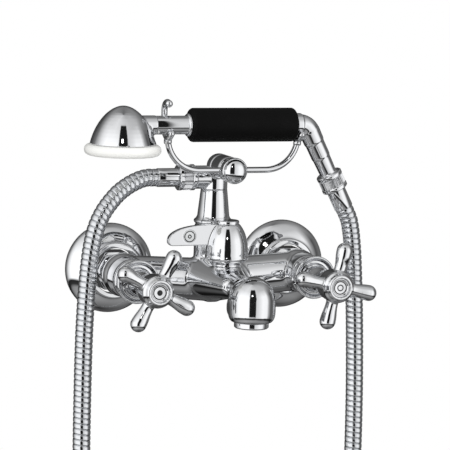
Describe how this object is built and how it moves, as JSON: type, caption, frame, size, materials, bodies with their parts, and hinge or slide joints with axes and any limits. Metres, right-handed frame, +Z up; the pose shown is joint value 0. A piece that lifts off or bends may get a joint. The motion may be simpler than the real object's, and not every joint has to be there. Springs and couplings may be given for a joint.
{
  "type": "bath shower mixer",
  "caption": "Wall bath shower mixer with cross handles, lever diverter, round spout, telephone handset on a fork cradle and a hanging ribbed hose.",
  "frame": {"origin": "on the finished wall face, midway between the two inlets", "axes": "+X to the right seen from the front, +Y into the wall along the inlet threads, +Z up"},
  "size_m": [0.2375, 0.1642, 0.5966],
  "materials": {
    "chrome_plate": "bright chrome plate on cast and turned brass",
    "bare_brass": "machined brass",
    "seal_rubber": "moulded black rubber",
    "valve_ceramic": "lapped alumina ceramic",
    "white_plastic": "moulded white plastic",
    "black_grip": "moulded black plastic",
    "white_inlay": "satin pale inlay"
  },
  "bodies": {
    "mixer": {"hot_eccentric_union": "bare_brass", "cold_eccentric_union": "bare_brass", "hot_rosette": "chrome_plate", "cold_rosette": "chrome_plate", "hot_union_nut": "chrome_plate", "cold_union_nut": "chrome_plate", "hot_union_washer": "seal_rubber", "cold_union_washer": "seal_rubber", "mixer_body": "chrome_plate", "hot_headwork": "bare_brass", "cold_headwork": "bare_brass", "hot_fixed_disc": "valve_ceramic", "cold_fixed_disc": "valve_ceramic", "hot_shroud": "chrome_plate", "cold_shroud": "chrome_plate", "aerator_ring": "chrome_plate", "aerator_insert": "white_plastic", "aerator_seal": "seal_rubber", "diverter_bonnet": "chrome_plate", "riser_column": "chrome_plate", "riser_seal": "seal_rubber", "outlet_tee": "chrome_plate", "cradle_stud": "bare_brass", "cradle_fork": "chrome_plate", "cradle_nut": "chrome_plate", "outlet_hose_nut": "chrome_plate", "outlet_hose_washer": "seal_rubber", "outlet_hose_ferrule": "chrome_plate", "shower_hose": "chrome_plate"},
    "hot_valve": {"hot_moving_disc": "valve_ceramic", "hot_spindle": "bare_brass", "hot_spindle_seal": "seal_rubber", "hot_handle": "chrome_plate", "hot_handle_screw": "bare_brass", "hot_index_button": "chrome_plate"},
    "cold_valve": {"cold_moving_disc": "valve_ceramic", "cold_spindle": "bare_brass", "cold_spindle_seal": "seal_rubber", "cold_handle": "chrome_plate", "cold_handle_screw": "bare_brass", "cold_index_button": "chrome_plate"},
    "diverter": {"diverter_spool": "bare_brass", "diverter_spindle": "bare_brass", "diverter_seal": "seal_rubber", "diverter_handle": "chrome_plate", "diverter_cap": "chrome_plate", "diverter_inlay": "white_inlay"},
    "handset": {"handset_hose_nut": "chrome_plate", "handset_hose_washer": "seal_rubber", "handset_hose_ferrule": "chrome_plate", "handset_head": "chrome_plate", "handset_rim": "white_plastic", "handset_gasket": "seal_rubber", "handset_spray_plate": "white_plastic", "handset_tube": "chrome_plate", "handset_collar": "chrome_plate", "handset_grip": "black_grip", "handset_elbow": "chrome_plate"}
  },
  "joints": [
    {"name": "hot_turn", "type": "hinge", "parent": "mixer", "child": "hot_valve", "pos_m": [-0.0735, 0, 0], "axis": [0, -1, 0], "range_deg": [0, 90]},
    {"name": "cold_turn", "type": "hinge", "parent": "mixer", "child": "cold_valve", "pos_m": [0.0735, 0, 0], "axis": [0, -1, 0], "range_deg": [-90, 0]},
    {"name": "diverter_turn", "type": "hinge", "parent": "mixer", "child": "diverter", "pos_m": [0, -0.0735, 0], "axis": [0, 0, 1], "range_deg": [0, 90]},
    {"name": "handset_lift", "type": "slide", "parent": "mixer", "child": "handset", "axis": [0, -0.6691, 0.7431], "range_m": [0, 0.1], "deforming": ["shower_hose"]}
  ]
}
